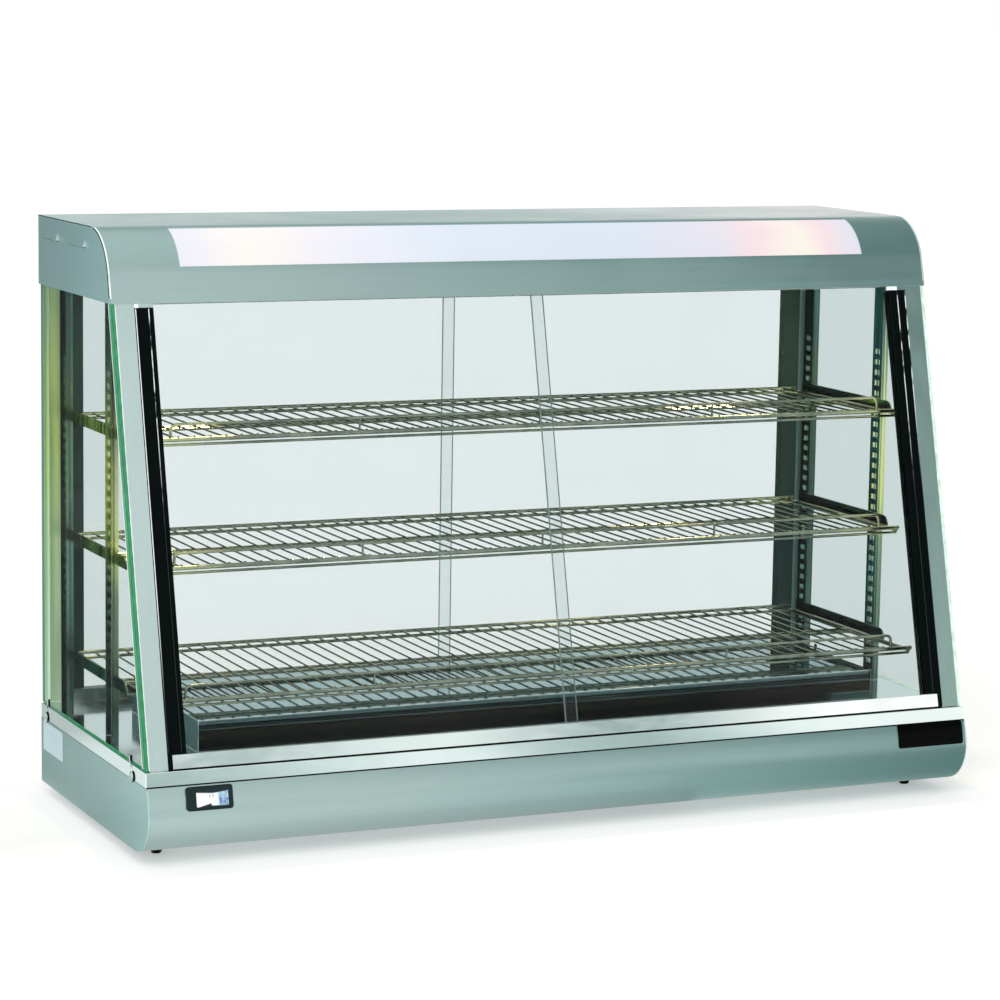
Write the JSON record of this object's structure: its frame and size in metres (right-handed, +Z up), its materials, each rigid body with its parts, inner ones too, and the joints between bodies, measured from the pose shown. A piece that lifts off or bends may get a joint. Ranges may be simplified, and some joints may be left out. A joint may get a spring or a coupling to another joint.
{
  "type": "heated display case",
  "caption": "Countertop heated display case with a slanted sliding-door front, wire shelves on slotted uprights, and a lit rounded canopy.",
  "frame": {"origin": "middle of the footprint, on the surface that the feet stand on", "axes": "+X to the customer's right, +Y from the slanted front to the rear, +Z up"},
  "size_m": [1.207, 0.4925, 0.798],
  "materials": {
    "satin_steel": "satin brushed stainless steel",
    "satin_frame": "satin brushed stainless steel",
    "polished_steel": "mirror polished stainless steel",
    "bright_steel": "bright rolled stainless steel",
    "chrome_wire": "chrome plated wire",
    "side_glass": "clear glass with a green edge",
    "door_glass": "clear glass with a green edge",
    "seal_black": "semi-gloss black extrusion",
    "control_black": "moulded black plastic",
    "meter_black": "glossy black plastic",
    "foot_rubber": "black rubber",
    "light_panel": "opal diffuser, lit from behind",
    "lamp_ceramic": "unglazed ceramic",
    "bulb_glass": "pearl lamp glass, lit",
    "element_sheath": "heat-darkened steel sheath"
  },
  "bodies": {
    "case": {"base_body": "satin_steel", "canopy_wrap": "satin_steel", "canopy_end_left": "satin_steel", "canopy_end_right": "satin_steel", "front_frame_left": "satin_frame", "front_frame_right": "satin_frame", "rear_frame_left": "satin_frame", "rear_frame_right": "satin_frame", "deck_plate": "polished_steel", "heater_cover": "polished_steel", "front_track_lower": "polished_steel", "rear_track_lower": "polished_steel", "glass_clip_front_left": "polished_steel", "glass_clip_front_right": "polished_steel", "glass_clip_rear_left": "polished_steel", "glass_clip_rear_right": "polished_steel", "canopy_ceiling": "bright_steel", "front_track_upper": "bright_steel", "rear_track_upper": "bright_steel", "shelf_post_front_left": "bright_steel", "shelf_post_front_right": "bright_steel", "shelf_post_rear_left": "bright_steel", "shelf_post_rear_right": "bright_steel", "shelf_arm_top_left": "bright_steel", "shelf_arm_top_right": "bright_steel", "shelf_arm_middle_left": "bright_steel", "shelf_arm_middle_right": "bright_steel", "shelf_arm_bottom_left": "bright_steel", "shelf_arm_bottom_right": "bright_steel", "wire_shelf_top": "chrome_wire", "wire_shelf_middle": "chrome_wire", "wire_shelf_bottom": "chrome_wire", "side_glass_left": "side_glass", "side_glass_right": "side_glass", "front_seal_left": "seal_black", "front_seal_right": "seal_black", "rear_seal_left": "seal_black", "rear_seal_right": "seal_black", "switch_housing": "control_black", "thermostat_body": "control_black", "cable_gland": "control_black", "thermometer": "meter_black", "foot_front_left": "foot_rubber", "foot_front_right": "foot_rubber", "foot_rear_left": "foot_rubber", "foot_rear_right": "foot_rubber", "light_panel": "light_panel", "lamp_holder_left": "lamp_ceramic", "lamp_holder_right": "lamp_ceramic", "bulb_left": "bulb_glass", "bulb_right": "bulb_glass", "heating_element": "element_sheath"},
    "front_door_left": {"front_door_left": "door_glass"},
    "front_door_right": {"front_door_right": "door_glass"},
    "rear_door_left": {"rear_door_left": "door_glass"},
    "rear_door_right": {"rear_door_right": "door_glass"},
    "power_rocker": {"power_rocker": "control_black"},
    "light_rocker": {"light_rocker": "control_black"},
    "thermostat_knob": {"thermostat_knob": "control_black"}
  },
  "joints": [
    {"name": "front_door_right_slide", "type": "slide", "parent": "case", "child": "front_door_right", "axis": [1, 0, 0], "range_m": [-0.55, 0]},
    {"name": "front_door_left_slide", "type": "slide", "parent": "case", "child": "front_door_left", "axis": [1, 0, 0], "range_m": [0, 0.55]},
    {"name": "rear_door_right_slide", "type": "slide", "parent": "case", "child": "rear_door_right", "axis": [1, 0, 0], "range_m": [-0.55, 0]},
    {"name": "rear_door_left_slide", "type": "slide", "parent": "case", "child": "rear_door_left", "axis": [1, 0, 0], "range_m": [0, 0.55]},
    {"name": "light_rocker_pivot", "type": "hinge", "parent": "case", "child": "light_rocker", "pos_m": [0.437, 0.2324, 0.064], "axis": [1, 0, 0], "range_deg": [0, 14]},
    {"name": "power_rocker_pivot", "type": "hinge", "parent": "case", "child": "power_rocker", "pos_m": [0.463, 0.2324, 0.064], "axis": [1, 0, 0], "range_deg": [0, 14]},
    {"name": "thermostat_knob_turn", "type": "hinge", "parent": "case", "child": "thermostat_knob", "pos_m": [0.34, 0.2405, 0.064], "axis": [0, 1, 0], "range_deg": [0, 270]}
  ]
}
